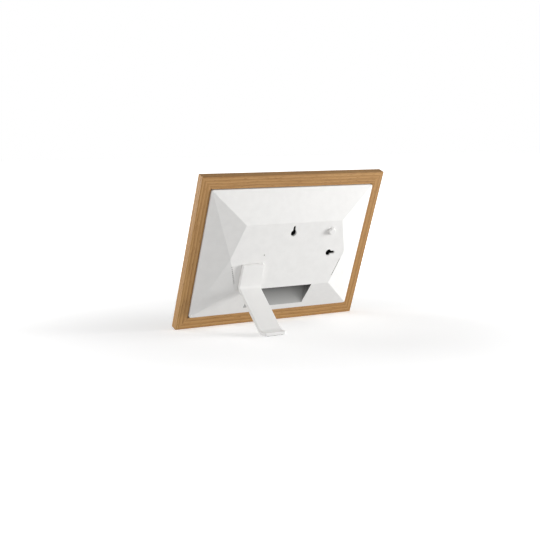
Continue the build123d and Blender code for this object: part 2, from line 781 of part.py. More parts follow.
flange_top = cover_inside - BUTTON_GAP
with BuildPart() as power_button:
    with BuildSketch(back.offset(plunger_tip)):
        with Locations(BUTTON_SPOT):
            Circle(BUTTON_STEM_R)
    extrude(amount=flange_top - plunger_tip)
    with BuildSketch(back.offset(flange_top - BUTTON_FLANGE_T)):
        with Locations(BUTTON_SPOT):
            Circle(BUTTON_FLANGE_R)
    extrude(amount=BUTTON_FLANGE_T)
    with BuildSketch(back.offset(flange_top)):
        with Locations(BUTTON_SPOT):
            Circle(BUTTON_R)
    extrude(amount=COVER_DEPTH + BUTTON_PROUD - flange_top)
    outermost = power_button.edges().sort_by(Axis(back.origin, back.z_dir))[-1]
    fillet(outermost, BUTTON_EDGE_R)
save(power_button.part, "power_button")

# Display ribbon ----------------------------------------------------------------------------

ribbon_low = backplate_front + RIBBON_T / 2
ribbon_high = board_rear + CONNECTOR_H / 2
connector_top = BOARD_TOP - 2 * BOARD_T
ribbon_start = ribbon_window_top - RIBBON_LANDING / 2
with BuildPart() as display_ribbon:
    with BuildSketch(Plane.YZ.offset(-RIBBON_X - RIBBON_W / 2)):
        with BuildLine():
            FilletPolyline(
                side_point(ribbon_start, ribbon_low),
                side_point(ribbon_start - RIBBON_LANDING, ribbon_low),
                side_point(BOARD_TOP + RIBBON_LANDING / 4, ribbon_high),
                side_point(connector_top, ribbon_high),
                radius=RIBBON_BEND_R,
            )
            offset(amount=RIBBON_T / 2, side=Side.BOTH)
        make_face()
    extrude(amount=RIBBON_W)
save(display_ribbon.part, "display_ribbon")

with BuildPart() as ribbon_connector:
    with BuildSketch(back.offset(board_rear)):
        with Locations((RIBBON_X, connector_top - RIBBON_T - CONNECTOR_L / 2)):
            Rectangle(RIBBON_W + 2 * RIBBON_T, CONNECTOR_L)
    extrude(amount=CONNECTOR_H)
save(ribbon_connector.part, "ribbon_connector")

# Speakers ----------------------------------------------------------------------------------

speaker_turn = Vector(1, 0).get_angle(crease_inward)
speaker_middle = crease_middle + crease_inward * SPEAKER_INSET
with BuildPart() as speaker_sockets:
    with BuildSketch(back.offset(board_rear)):
        with Locations(*SOCKET_SPOTS):
            Rectangle(SOCKET_W, SOCKET_L)
    extrude(amount=SOCKET_H)
save(speaker_sockets.part, "speaker_sockets")

for name, mirror, socket_spot in (
    ("left", -1, SOCKET_SPOTS[0]),
    ("right", 1, SOCKET_SPOTS[1]),
):
    middle = mirrored(speaker_middle, x=mirror)
    inward = mirrored(crease_inward, x=mirror)
    seat = Location((middle.X, middle.Y, 0), (0, 0, mirror * speaker_turn))
    with BuildPart() as speaker:
        with BuildSketch(back.offset(SPEAKER_Z)):
            with Locations(seat):
                RectangleRounded(SPEAKER_W, SPEAKER_L, GASKET_RIM)
        extrude(amount=SPEAKER_T)
        with BuildSketch(back.offset(SPEAKER_Z + SPEAKER_T)):
            with Locations(seat):
                SlotOverall(
                    SPEAKER_L - 2 * GASKET_RIM, SPEAKER_W - 2 * GASKET_RIM, rotation=90
                )
        extrude(amount=-SPEAKER_CONE_DEPTH, mode=Mode.SUBTRACT)
    save(speaker.part, f"{name}_speaker")

    with BuildPart() as gasket:
        with BuildSketch(back.offset(SPEAKER_Z + SPEAKER_T)):
            with Locations(seat):
                RectangleRounded(SPEAKER_W, SPEAKER_L, GASKET_RIM)
                Rectangle(
                    SPEAKER_W - 2 * GASKET_RIM, SPEAKER_L - 2 * GASKET_RIM, mode=Mode.SUBTRACT
                )
        extrude(amount=COVER_DEPTH)
        add(cavity, mode=Mode.INTERSECT)
    save(gasket.part, f"{name}_speaker_gasket")

    lead_start = middle + inward * (SPEAKER_W / 2)
    lead_turn = lead_start + inward * LEAD_BEND_R
    socket_edge = socket_spot[0] + mirror * SOCKET_W / 2
    with BuildPart() as lead:
        with BuildLine(back.offset(board_rear + SOCKET_H / 2)) as lead_path:
            FilletPolyline(
                (lead_start.X, lead_start.Y),
                (lead_turn.X, lead_turn.Y),
                (socket_edge + mirror * LEAD_END_RUN, socket_spot[1]),
                (socket_edge, socket_spot[1]),
                radius=LEAD_BEND_R,
            )
        with BuildSketch(Plane(origin=lead_path.line @ 0, z_dir=lead_path.line % 0)):
            Circle(LEAD_R)
        sweep(path=lead_path.line)
    save(lead.part, f"{name}_speaker_lead")

# Strut -------------------------------------------------------------------------------------

strap_bottom = COVER_DEPTH + SWIVEL_GAP
spigot_end = cover_inside - COLLAR_L - SPIGOT_STANDOUT
swivel_screw_spots = [
    (
        pivot_x + SWIVEL_SCREW_CIRCLE_R * cos(radians(turn)),
        pivot_y + SWIVEL_SCREW_CIRCLE_R * sin(radians(turn)),
    )
    for turn in (90, 210, 330)
]
bend = Vector(*side_point(bend_y, strap_rear))
foot_corner = Vector(bend.X + leg_run, foot_top)
strap_tip = Vector(foot_corner.X + FOOT_L, foot_top)
strap_plane = Plane.YZ.offset(-pivot_x - STRAP_W / 2)
pad_middle_y = strap_tip.X - PAD_W / 2 - PAD_T / 2

with BuildPart() as stand_leg:
    with BuildSketch(strap_plane):
        with BuildLine():
            FilletPolyline(
                side_point(bend_y + STRAP_PLATE_L, strap_rear),
                bend,
                foot_corner,
                strap_tip,
                radius=(STRAP_BEND_R, FOOT_BEND_R),
            )
            offset(amount=STRAP_T, side=Side.RIGHT)
        make_face()
    extrude(amount=STRAP_W)
    tip_corners = stand_leg.edges().filter_by(Axis.Z).sort_by(Axis.Y)[-2:]
    fillet(tip_corners, FOOT_CORNER_R)
    plate_corners = stand_leg.edges().filter_by(Axis(back.origin, back.z_dir))
    fillet(plate_corners, PLATE_CORNER_R)
    with BuildSketch(back.offset(spigot_end)):
        with Locations(STRUT_PIVOT):
            Circle(SPIGOT_R)
    extrude(amount=strap_bottom - spigot_end)
    with BuildSketch(back.offset(spigot_end)):
        with Locations(*swivel_screw_spots):
            Circle(SCREW_SHANK_R)
    extrude(amount=SWIVEL_SCREW_L, mode=Mode.SUBTRACT)
    with BuildSketch(Plane.XY.offset(PAD_DROP)):
        with Locations((-pivot_x, pad_middle_y)):
            RectangleRounded(PAD_L, PAD_W, PAD_T)
    extrude(amount=PAD_T - PAD_DROP, mode=Mode.SUBTRACT)
save(stand_leg.part, "stand_leg")

with BuildPart() as foot_pad:
    with BuildSketch(Plane.XY):
        with Locations((-pivot_x, pad_middle_y)):
            RectangleRounded(PAD_L, PAD_W, PAD_T)
    extrude(amount=PAD_T)
save(foot_pad.part, "foot_pad")

with BuildPart() as swivel_washer:
    with BuildSketch(back.offset(spigot_end)):
        with Locations(STRUT_PIVOT):
            Circle(RETAINER_R)
            Circle(SPIGOT_R, mode=Mode.SUBTRACT)
    extrude(amount=WASHER_T)
save(swivel_washer.part, "swivel_washer")

with BuildPart() as swivel_retainer:
    with BuildSketch(back.offset(retainer_front)):
        with Locations(STRUT_PIVOT):
            Circle(RETAINER_R)
        with Locations((pivot_x, pivot_y + LUG_REACH / 2)):
            Rectangle(LUG_W, LUG_REACH)
        with Locations(*swivel_screw_spots):
            Circle(SCREW_SHANK_R, mode=Mode.SUBTRACT)
    extrude(amount=RETAINER_T)
save(swivel_retainer.part, "swivel_retainer")

with BuildPart() as swivel_screws:
    with BuildSketch(back.offset(retainer_front)):
        with Locations(*swivel_screw_spots):
            Circle(SWIVEL_SCREW_HEAD_R)
    extrude(amount=-SCREW_HEAD_T)
    with BuildSketch(back.offset(retainer_front)):
        with Locations(*swivel_screw_spots):
            Circle(SCREW_SHANK_R)
    extrude(amount=RETAINER_T + SWIVEL_SCREW_L - SEAT_FIT)
save(swivel_screws.part, "swivel_screws")
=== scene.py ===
import json
import math

import bmesh
import bpy
from mathutils import Matrix, Vector


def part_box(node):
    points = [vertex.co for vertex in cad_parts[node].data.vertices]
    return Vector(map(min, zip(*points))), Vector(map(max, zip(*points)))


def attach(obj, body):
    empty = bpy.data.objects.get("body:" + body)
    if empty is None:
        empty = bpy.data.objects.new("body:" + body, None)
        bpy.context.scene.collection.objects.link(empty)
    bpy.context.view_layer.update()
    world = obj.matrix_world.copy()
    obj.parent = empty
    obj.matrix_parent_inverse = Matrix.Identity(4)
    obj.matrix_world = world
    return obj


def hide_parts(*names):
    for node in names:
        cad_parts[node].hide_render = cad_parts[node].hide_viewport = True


# A digital photo frame: an oiled oak surround, a faceted white cover and a bent white strut.
# Pieces are laid out as seen from behind: x to the viewer's right, y up the frame from its
# middle, z out of its back with 0 at the rear face of the wood. FRAMED puts them in place.

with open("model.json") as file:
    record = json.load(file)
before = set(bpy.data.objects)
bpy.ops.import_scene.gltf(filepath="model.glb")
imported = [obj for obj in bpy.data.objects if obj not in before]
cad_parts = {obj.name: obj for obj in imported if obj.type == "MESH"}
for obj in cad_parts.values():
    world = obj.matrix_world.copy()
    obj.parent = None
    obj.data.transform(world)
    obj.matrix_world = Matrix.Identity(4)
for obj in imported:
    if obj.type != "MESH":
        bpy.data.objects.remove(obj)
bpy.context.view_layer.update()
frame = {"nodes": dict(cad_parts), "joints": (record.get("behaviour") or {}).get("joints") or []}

MM = 0.001

# Sizes, millimetres
WOOD_W = 264.0
WOOD_H = 200.2
WOOD_T = 11.0
FACE_W = 20.0
LIP_T = 2.4
RAIL_BACK_W = 15.5
STILE_BACK_W = 14.0
WOOD_EDGE_R = 1.0
OPENING_EDGE_R = 0.8
GLASS_MIDDLE_Z = -7.7
GLASS_T = 1.8
GLASS_GROUND = 0.25
WELD = 0.002  # points nearer than this are made one
STRAP_W = 30.0
STRAP_T = 4.0
STRAP_REAR_Z = 21.0
STRAP_TOP_Y = -7.85
STRAP_BEND_Y = -37.75
STRAP_BEND_R = 4.0
STRAP_EDGE_R = 0.5
LEG_SLOPE = 44.4
FOOT_TOP = 4.4
FOOT_BEND_R = 10.0
FOOT_CORNER_R = 2.5
PLATE_CORNER_R = 1.2
PIVOT = (-51.3, -22.8)
SPIGOT_R = 7.0
SPIGOT_Z = (12.2, 17.2)
PAD_CORNER_R = 1.2
PAD_GROOVES = 7
PAD_GROOVE_W = 0.8
PAD_GROOVE_DEPTH = 0.3
BUTTON_SPOT = (56.5, 30.0)
BUTTON_R = 4.5
BUTTON_TOP_Z = 20.3
BUTTON_RIM = 1.2
BUTTON_DISH = 0.15
BUTTON_FLANGE_R = 6.0
BUTTON_FLANGE_Z = 14.2
BUTTON_FLANGE_T = 1.2
BUTTON_STEM_R = 2.0
BUTTON_STEM_Z = 9.8
POCKET_W = 88.4
POCKET_RUN = 31.8
POCKET_TOP_Y = -43.5
POCKET_SEAM = 0.04
PICTURE_W = 216.96
PICTURE_H = 135.6
RING_W = 3.0
RING_DRIFT = 4.0 * MM
WAVE = math.tau / 20  # how far apart a wave texture's rings lie at scale 1

# How much each thing in the wood counts towards its tone
RING_SHARE = 0.4
FIBRE_SHARE = 0.55
PATCH_SHARE = 0.35

NEAR = 0.1  # of a line or corner, when picking edges, millimetres
SPIN_STEPS = 72
ARC_STEPS = 8

# The set
FLOOR_HALF = 6.0
GLOW_NEAR = 0.15
GLOW_FAR = 0.8
GLOW_LOW = 0.3
LAMP_SIZE = 0.7
LAMP_AWAY = 1.8
AIM = Vector((0, 0.02, 0.09))
FROM_BELOW = 0.6
FROM_ABOVE = 0.38
HORIZON = 0.1
CAMERA_AT = (0.80428, 1.19680, 0.24960)
CAMERA_TIPPED = 7.139
CAMERA_ROUND = 146.901
LENS = 78.41

# The frame's own directions, from the axis that the strut swivels on
swivel = next(joint for joint in frame["joints"] if joint["name"] == "strut_swivel")
OUT = -Vector(swivel["axis"]).normalized()
UP = Vector((0.0, -OUT.z, OUT.y))
ACROSS = UP.cross(OUT)
LEAN = math.asin(-OUT.z)
glass_low, glass_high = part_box("front_glass")
MIDDLE = (Vector(glass_low) + Vector(glass_high)) / 2 - OUT * (GLASS_MIDDLE_Z * MM)
TURNED = Matrix((ACROSS, UP, OUT)).transposed().to_4x4()
SCALED = Matrix.Scale(MM, 4)
FRAMED = Matrix.Translation(MIDDLE) @ TURNED @ SCALED


# Materials ---------------------------------------------------------------------------------


def colour(shade):
    """An sRGB hex value as linear RGBA."""
    channels = [int(shade[k : k + 2], 16) / 255 for k in (1, 3, 5)]
    linear = [c / 12.92 if c <= 0.04045 else ((c + 0.055) / 1.055) ** 2.4 for c in channels]
    return (*linear, 1.0)


def add(tree, kind, settings=None, links=None, stops=()):
    """Adds one node. Settings are its own properties, links its inputs: a socket or a value.
    stops are the (place, shade) pairs of a colour ramp."""
    made = tree.nodes.new("ShaderNode" + kind)
    for name, value in (settings or {}).items():
        setattr(made, name, value)
    for name, value in (links or {}).items():
        if isinstance(value, bpy.types.NodeSocket):
            tree.links.new(value, made.inputs[name])
        else:
            made.inputs[name].default_value = value
    for _ in stops[2:]:
        made.color_ramp.elements.new(0.5)
    for k, (place, shade) in enumerate(stops):
        made.color_ramp.elements[k].position = place
        made.color_ramp.elements[k].color = colour(shade)
    return made


def start(name, **constant):
    """A new material, its tree and its shader, with the shader's even values set on it."""
    material = bpy.data.materials.new(name)
    material.use_nodes = True
    tree = material.node_tree
    shader = tree.nodes["Principled BSDF"]
    for key, value in constant.items():
        shader.inputs[key.replace("_", " ")].default_value = value
    return material, tree, shader


def along_frame(tree, turn=None, offset=(0, 0, 0)):
    """Object coordinates laid along the leaning frame: x across it, y through it, z up it."""
    lean = Matrix.Rotation(-LEAN, 3, "X")
    if turn is not None:
        lean = lean @ turn
    where = add(tree, "TexCoord")
    settled = {
        "Vector": where.outputs["Object"],
        "Location": offset,
        "Rotation": lean.to_euler("XYZ"),
    }
    return add(tree, "Mapping", {"vector_type": "TEXTURE"}, settled).outputs["Vector"]


def per_mm(size):
    """A texture scale that repeats about once in so many millimetres."""
    return 1 / (size * MM)


def streaks(tree, where, size, detail):
    """Marks drawn out along a part; size is theirs each way, millimetres."""
    laid = add(
        tree, "Mapping", links={"Vector": where, "Scale": [per_mm(length) for length in size]}
    )
    spread = {"Vector": laid.outputs["Vector"], "Scale": 1.0, "Detail": detail}
    return add(tree, "TexNoise", links=spread)


def oiled_oak(name, heart, upright=False):
    """Oak, planed and oiled: long straight growth lines, short dark pores and a dull sheen.
    heart is a point on the line that the growth rings lie round, the middle of the tree."""
    material, tree, shader = start(name, Specular_IOR_Level=0.4)
    turn = Matrix.Rotation(math.radians(-90), 3, "Y") if upright else None
    grain = along_frame(tree, turn, FRAMED @ Vector(heart))
    drift = streaks(tree, grain, (160, 22, 22), 2.0)
    # growth rings that the planed faces cut at a slant, so their lines lie about 4 mm apart
    bent = add(
        tree,
        "VectorMath",
        {"operation": "MULTIPLY_ADD"},
        {0: drift.outputs["Color"], 1: (0, RING_DRIFT, RING_DRIFT), 2: grain},
    )
    rings = add(
        tree,
        "TexWave",
        {"wave_type": "RINGS", "rings_direction": "X", "wave_profile": "SAW"},
        {
            "Vector": bent.outputs["Vector"],
            "Scale": WAVE * per_mm(RING_W),
            "Distortion": 0.5,
            "Detail": 2.0,
            "Detail Scale": 2.0,
        },
    )
    fibres = streaks(tree, grain, (30, 0.7, 0.7), 3.0)
    # pores 0.2 mm wide are drawn twice as wide, so that they show
    pores = streaks(tree, grain, (7, 0.45, 0.45), 1.0)
    pore_mask = add(
        tree,
        "MapRange",
        links={"Value": pores.outputs["Fac"], "From Min": 0.62, "From Max": 0.74},
    )
    fibre_tone = add(
        tree, "Math", {"operation": "MULTIPLY"}, {0: fibres.outputs["Fac"], 1: FIBRE_SHARE}
    )
    tone = add(
        tree,
        "Math",
        {"operation": "MULTIPLY_ADD"},
        {0: rings.outputs["Fac"], 1: RING_SHARE, 2: fibre_tone.outputs["Value"]},
    )
    wood = add(
        tree,
        "ValToRGB",
        links={"Fac": tone.outputs["Value"]},
        stops=[(0.18, "#C59B63"), (0.42, "#B88C53"), (0.58, "#AB7F47"), (0.8, "#94693A")],
    )
    patches = streaks(tree, grain, (90, 14, 14), 2.0)
    uneven = add(
        tree,
        "ValToRGB",
        links={"Fac": patches.outputs["Fac"]},
        stops=[(0.3, "#FFFFFF"), (0.7, "#D9C7AE")],
    )
    warm = add(
        tree,
        "Mix",
        {"data_type": "RGBA", "blend_type": "MULTIPLY"},
        {"Factor": PATCH_SHARE, 6: wood.outputs["Color"], 7: uneven.outputs["Color"]},
    )
    dark_pores = add(
        tree,
        "Mix",
        {"data_type": "RGBA", "blend_type": "MULTIPLY"},
        {"Factor": pore_mask.outputs["Result"], 6: warm.outputs[2], 7: colour("#B5946C")},
    )
    tree.links.new(dark_pores.outputs[2], shader.inputs["Base Color"])
    dull = add(
        tree,
        "MapRange",
        links={"Value": fibres.outputs["Fac"], "To Min": 0.42, "To Max": 0.6},
    )
    tree.links.new(dull.outputs["Result"], shader.inputs["Roughness"])
    relief = add(
        tree,
        "Math",
        {"operation": "SUBTRACT"},
        {0: fibres.outputs["Fac"], 1: pore_mask.outputs["Result"]},
    )
    bump = add(
        tree,
        "Bump",
        links={"Height": relief.outputs["Value"], "Strength": 0.35, "Distance": 0.05 * MM},
    )
    tree.links.new(bump.outputs["Normal"], shader.inputs["Normal"])
    return material


def moulded(name, shade, tint, grain, depth, rough, mottle=6.0, **constant):
    """Moulded plastic or rubber: a fine tool-textured skin with faint flow marks in its tone.
    grain is the texture's size and mottle the flow marks', millimetres."""
    material, tree, shader = start(name, **constant)
    where = add(tree, "TexCoord").outputs["Object"]
    skin = add(
        tree, "TexNoise", links={"Vector": where, "Scale": per_mm(grain), "Detail": 2.0}
    )
    flow = add(
        tree, "TexNoise", links={"Vector": where, "Scale": per_mm(mottle), "Detail": 3.0}
    )
    tones = [(0.35, shade), (0.65, tint)]
    tone = add(tree, "ValToRGB", links={"Fac": flow.outputs["Fac"]}, stops=tones)
    tree.links.new(tone.outputs["Color"], shader.inputs["Base Color"])
    dull = add(
        tree,
        "MapRange",
        links={"Value": skin.outputs["Fac"], "To Min": rough - 0.05, "To Max": rough + 0.05},
    )
    tree.links.new(dull.outputs["Result"], shader.inputs["Roughness"])
    bump = add(
        tree,
        "Bump",
        links={"Height": skin.outputs["Fac"], "Strength": 0.4, "Distance": depth * MM},
    )
    tree.links.new(bump.outputs["Normal"], shader.inputs["Normal"])
    return material


def sheet_metal(name, shade, tint, rough, streak=(6.0, 0.25, 0.25)):
    """Rolled, plated or turned metal: fine streaks one way, in its roughness and relief."""
    material, tree, shader = start(name, Metallic=1.0)
    where = along_frame(tree)
    lines = streaks(tree, where, streak, 3.0)
    cloud = add(tree, "TexNoise", links={"Vector": where, "Scale": per_mm(5), "Detail": 2.0})
    tones = [(0.35, shade), (0.65, tint)]
    tone = add(tree, "ValToRGB", links={"Fac": cloud.outputs["Fac"]}, stops=tones)
    tree.links.new(tone.outputs["Color"], shader.inputs["Base Color"])
    dull = add(
        tree,
        "MapRange",
        links={"Value": lines.outputs["Fac"], "To Min": rough - 0.1, "To Max": rough + 0.1},
    )
    tree.links.new(dull.outputs["Result"], shader.inputs["Roughness"])
    bump = add(
        tree,
        "Bump",
        links={"Height": lines.outputs["Fac"], "Strength": 0.2, "Distance": 0.01 * MM},
    )
    tree.links.new(bump.outputs["Normal"], shader.inputs["Normal"])
    return material


def circuit_board():
    """Glass-fibre board under green solder mask: tracks show as lighter raised lines."""
    material, tree, shader = start("solder_masked_board", Specular_IOR_Level=0.5)
    where = along_frame(tree)
    flat = add(
        tree,
        "Mapping",
        links={"Vector": where, "Rotation": (math.radians(90), 0, 0)},
    )
    tracks = add(
        tree,
        "TexBrick",
        {"offset": 0.37, "squash": 1.6, "squash_frequency": 3},
        {
            "Vector": flat.outputs["Vector"],
            "Scale": 1.0,
            "Brick Width": 9 * MM,
            "Row Height": 1.8 * MM,
            "Mortar Size": 0.22 * MM,
            "Mortar Smooth": 0.1,
            "Color1": colour("#0F4A2A"),
            "Color2": colour("#11502E"),
            "Mortar": colour("#2C7A4B"),
        },
    )
    tree.links.new(tracks.outputs["Color"], shader.inputs["Base Color"])
    weave = add(tree, "TexNoise", links={"Vector": where, "Scale": per_mm(0.5), "Detail": 2.0})
    dull = add(
        tree,
        "MapRange",
        links={"Value": weave.outputs["Fac"], "To Min": 0.25, "To Max": 0.4},
    )
    tree.links.new(dull.outputs["Result"], shader.inputs["Roughness"])
    bump = add(
        tree,
        "Bump",
        links={"Height": tracks.outputs["Fac"], "Strength": 0.5, "Distance": 0.04 * MM},
    )
    tree.links.new(bump.outputs["Normal"], shader.inputs["Normal"])
    return material


def window_glass():
    """Float glass, polished and clear, with the faintest waviness."""
    material, tree, shader = start(
        "float_glass",
        Base_Color=colour("#F4FAF8"),
        Transmission_Weight=1.0,
        IOR=1.52,
        Roughness=0.0,
    )
    where = add(tree, "TexCoord").outputs["Object"]
    # clear glass throws no shadow on the mat behind it
    path = add(tree, "LightPath")
    unshaded = add(
        tree, "Math", {"operation": "SUBTRACT"}, {0: 1.0, 1: path.outputs["Is Shadow Ray"]}
    )
    tree.links.new(unshaded.outputs["Value"], shader.inputs["Alpha"])
    wave = add(tree, "TexNoise", links={"Vector": where, "Scale": per_mm(60), "Detail": 1.0})
    bump = add(
        tree,
        "Bump",
        links={"Height": wave.outputs["Fac"], "Strength": 0.05, "Distance": 0.05 * MM},
    )
    tree.links.new(bump.outputs["Normal"], shader.inputs["Normal"])
    return material


def band(tree, reach, middle, width):
    """1 where a coordinate lies in a band across the part, and 0 elsewhere."""
    apart = add(tree, "Math", {"operation": "SUBTRACT"}, {0: reach, 1: middle * MM})
    far = add(tree, "Math", {"operation": "ABSOLUTE"}, {0: apart.outputs["Value"]})
    near = {0: far.outputs["Value"], 1: width / 2 * MM}
    return add(tree, "Math", {"operation": "LESS_THAN"}, near).outputs["Value"]


def paint_pocket_shade(material):
    """Paints shade into the cover's port pocket: a matt grey that stands in for the shade of a
    deep dim hollow, darkest up by the ports."""
    tree = material.node_tree
    base = tree.nodes["Principled BSDF"].inputs["Base Color"]
    parts = add(tree, "SeparateXYZ", links={"Vector": along_frame(tree, offset=MIDDLE)})
    across = band(tree, parts.outputs["X"], 0, POCKET_W + POCKET_SEAM)
    low = POCKET_TOP_Y - POCKET_RUN
    up = band(tree, parts.outputs["Z"], low + POCKET_RUN / 2, POCKET_RUN + POCKET_SEAM)
    # the pocket, where painted shade takes the place of the white
    shaded_pocket = add(tree, "Math", {"operation": "MULTIPLY"}, {0: across, 1: up})
    climb = add(
        tree,
        "MapRange",
        links={
            "Value": parts.outputs["Z"],
            "From Min": low * MM,
            "From Max": POCKET_TOP_Y * MM,
        },
    )
    # painted shade: grey, darkening up towards the ports
    grey = add(
        tree,
        "ValToRGB",
        links={"Fac": climb.outputs["Result"]},
        stops=[(0.0, "#ABABA9"), (0.6, "#80807E"), (1.0, "#2E2E2D")],
    )
    white = base.links[0].from_socket
    tone = add(
        tree,
        "Mix",
        {"data_type": "RGBA"},
        {"Factor": shaded_pocket.outputs["Value"], 6: white, 7: grey.outputs["Color"]},
    )
    tree.links.new(tone.outputs[2], base)
    return material


def display_face():
    """A switched-off display: black ink round a charcoal picture area of fine pixels."""
    material, tree, shader = start("display_glass_off", Specular_IOR_Level=0.5, Coat_Weight=0.3)
    where = along_frame(tree, offset=MIDDLE)
    parts = add(tree, "SeparateXYZ", links={"Vector": where})
    across = band(tree, parts.outputs["X"], 0, PICTURE_W)
    up = band(tree, parts.outputs["Z"], 0, PICTURE_H)
    picture = add(tree, "Math", {"operation": "MULTIPLY"}, {0: across, 1: up})
    # pixels of 0.17 mm are drawn 0.5 mm wide, so that they show
    grid = add(
        tree,
        "TexNoise",
        links={"Vector": where, "Scale": per_mm(0.5), "Detail": 1.0},
    )
    pixels = add(
        tree,
        "ValToRGB",
        links={"Fac": grid.outputs["Fac"]},
        stops=[(0.3, "#16181B"), (0.7, "#1C1F24")],
    )
    ink = colour("#050506")
    tone = add(
        tree,
        "Mix",
        {"data_type": "RGBA"},
        {"Factor": picture.outputs["Value"], 6: ink, 7: pixels.outputs["Color"]},
    )
    tree.links.new(tone.outputs[2], shader.inputs["Base Color"])
    dull = add(
        tree,
        "MapRange",
        links={"Value": grid.outputs["Fac"], "To Min": 0.16, "To Max": 0.24},
    )
    tree.links.new(dull.outputs["Result"], shader.inputs["Roughness"])
    return material


rail_oak = {
    "top_rail": oiled_oak("oiled_oak_top_rail", (310, -35, -110)),
    "bottom_rail": oiled_oak("oiled_oak_bottom_rail", (-220, -5, -120)),
    "left_stile": oiled_oak("oiled_oak_left_stile", (-30, 140, -120), upright=True),
    "right_stile": oiled_oak("oiled_oak_right_stile", (40, -400, -130), upright=True),
}
# fine-textured white ABS: a soft even white with no reflections, with painted shade in its port
# pocket
white_abs = paint_pocket_shade(
    moulded(
        "textured_white_abs", "#EFEEEC", "#ECEBE9", grain=0.9, depth=0.02, rough=0.52, mottle=9.0
    )
)
# the same white, moulded smooth: a broad low sheen along its bends
smooth_abs = moulded(
    "smooth_white_abs", "#F1F0EE", "#EFEEEC", grain=1.4, depth=0.01, rough=0.38, mottle=12.0
)
# soft rubber: flat grey, hardly any shine
sole_rubber = moulded(
    "grey_sole_rubber", "#8B8B8A", "#939392", grain=0.5, depth=0.03, rough=0.85, mottle=3.0
)
# black ABS: near black, with a dull sheen
black_abs = moulded("black_abs", "#141415", "#19191A", grain=0.7, depth=0.02, rough=0.55)

finishes = {
    "rear_cover": white_abs,
    "lcd_panel": display_face(),
    # pressed cotton board: a warm matt white
    "mat_board": moulded(
        "cotton_mat_board", "#EDEAE1", "#E6E2D7", grain=0.5, depth=0.03, rough=0.9, mottle=2.0
    ),
    "corner_splines": oiled_oak("sawn_oak_spline", (50, -60, -90)),
    "inner_frame": black_abs,
    # rolled aluminium: bright and cool, its rolling lines catching the light
    "backlight_unit": sheet_metal("mill_aluminium", "#B9BABD", "#C4C5C8", 0.45),
    # zinc-dipped steel: dull grey, clouded all over
    "backplate": sheet_metal("galvanised_steel", "#A6A9AC", "#B6B9BC", 0.4, (3.0, 3.0, 3.0)),
    "main_board": circuit_board(),
    # turned brass: yellow, with fine tool rings round it
    "board_standoffs": sheet_metal("turned_brass", "#C8A252", "#D2AE60", 0.3, (0.2, 4.0, 0.2)),
    # polyimide film: amber, with a smooth sheen
    "display_ribbon": moulded(
        "amber_polyimide_film", "#A5702A", "#B07A30", grain=1.5, depth=0.01, rough=0.3
    ),
    # cut nylon sheet: milky, slightly waxy
    "swivel_washer": moulded(
        "nylon_sheet", "#DEDACF", "#D6D2C6", grain=0.6, depth=0.01, rough=0.45
    ),
    # pressed steel: plain grey metal with faint lines
    "swivel_retainer": sheet_metal("pressed_steel", "#9FA2A5", "#ABAEB1", 0.38),
}
# zinc-plated screws: bright bluish grey
plated_steel = sheet_metal("zinc_plated_steel", "#A9ABB0", "#B9BBC0", 0.32, (0.4, 0.4, 0.4))
# nickel-plated shells: warm bright grey, sharp highlights
nickel = sheet_metal("nickel_plated_shell", "#B9B7B2", "#C5C3BE", 0.25)
# tinplate cans: silvery, slightly softer
tinplate = sheet_metal("tinplate", "#BDBEC0", "#C9CACC", 0.3)
# moulded epoxy chips: matt black
epoxy = moulded("black_epoxy", "#17171A", "#1C1C1F", grain=0.25, depth=0.01, rough=0.6)
# nylons, black, ivory and tan: a soft waxy sheen
nylon = moulded("black_nylon", "#1A1A1B", "#202021", grain=0.5, depth=0.01, rough=0.5)
ivory = moulded("ivory_nylon", "#DDD5BF", "#D5CCB4", grain=0.5, depth=0.01, rough=0.45)
tan_nylon = moulded("tan_nylon", "#9C7F5C", "#A48763", grain=0.5, depth=0.01, rough=0.45)
# open foam: black and pitted, with no shine
foam = moulded("black_foam", "#1B1B1B", "#242424", grain=0.5, depth=0.15, rough=0.95, mottle=1.0)
# vinyl sleeve: black, with a smooth gloss
vinyl = moulded("black_vinyl_sleeve", "#18181A", "#1E1E20", grain=1.0, depth=0.01, rough=0.35)
shared = (
    (plated_steel, ("backplate_screws", "board_screws", "swivel_screws")),
    (nickel, ("usb_socket", "card_slot")),
    (tinplate, ("processor_shield", "wifi_module")),
    (epoxy, ("processor", "memory_chips", "board_components")),
    (nylon, ("dc_jack", "power_switch", "reset_switch")),
    (ivory, ("ribbon_connector", "speaker_sockets")),
    (tan_nylon, ("power_switch_plunger", "reset_plunger")),
    (black_abs, ("left_speaker", "right_speaker", "keyhole_cups")),
    (foam, ("left_speaker_gasket", "right_speaker_gasket")),
    (vinyl, ("left_speaker_lead", "right_speaker_lead")),
)
for material, nodes in shared:
    for node in nodes:
        finishes[node] = material
for node, material in finishes.items():
    mesh = frame["nodes"][node].data
    mesh.materials.clear()
    mesh.materials.append(material)


# Pieces ------------------------------------------------------------------------------------


def finish_piece(bm, name, material, body, node=None, place=FRAMED, sharp=35):
    """Makes an object of a finished bmesh, in its place on its body, and hides the part it stands
    in for.
    """
    bmesh.ops.transform(bm, matrix=place, verts=bm.verts)
    bmesh.ops.remove_doubles(bm, verts=bm.verts, dist=WELD * MM)
    bmesh.ops.dissolve_degenerate(bm, edges=bm.edges, dist=WELD * MM)
    bmesh.ops.recalc_face_normals(bm, faces=bm.faces)
    if bm.calc_volume(signed=True) < 0:
        bmesh.ops.reverse_faces(bm, faces=bm.faces)
    mesh = bpy.data.meshes.new(name)
    bm.to_mesh(mesh)
    bm.free()
    mesh.materials.append(material)
    mesh.set_sharp_from_angle(angle=math.radians(sharp))
    piece = bpy.data.objects.new(name, mesh)
    bpy.context.scene.collection.objects.link(piece)
    for polygon in mesh.polygons:
        polygon.use_smooth = True
    evened = piece.modifiers.new("evened_normals", "WEIGHTED_NORMAL")
    evened.keep_sharp = True
    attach(piece, body)
    if node:
        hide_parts(node)


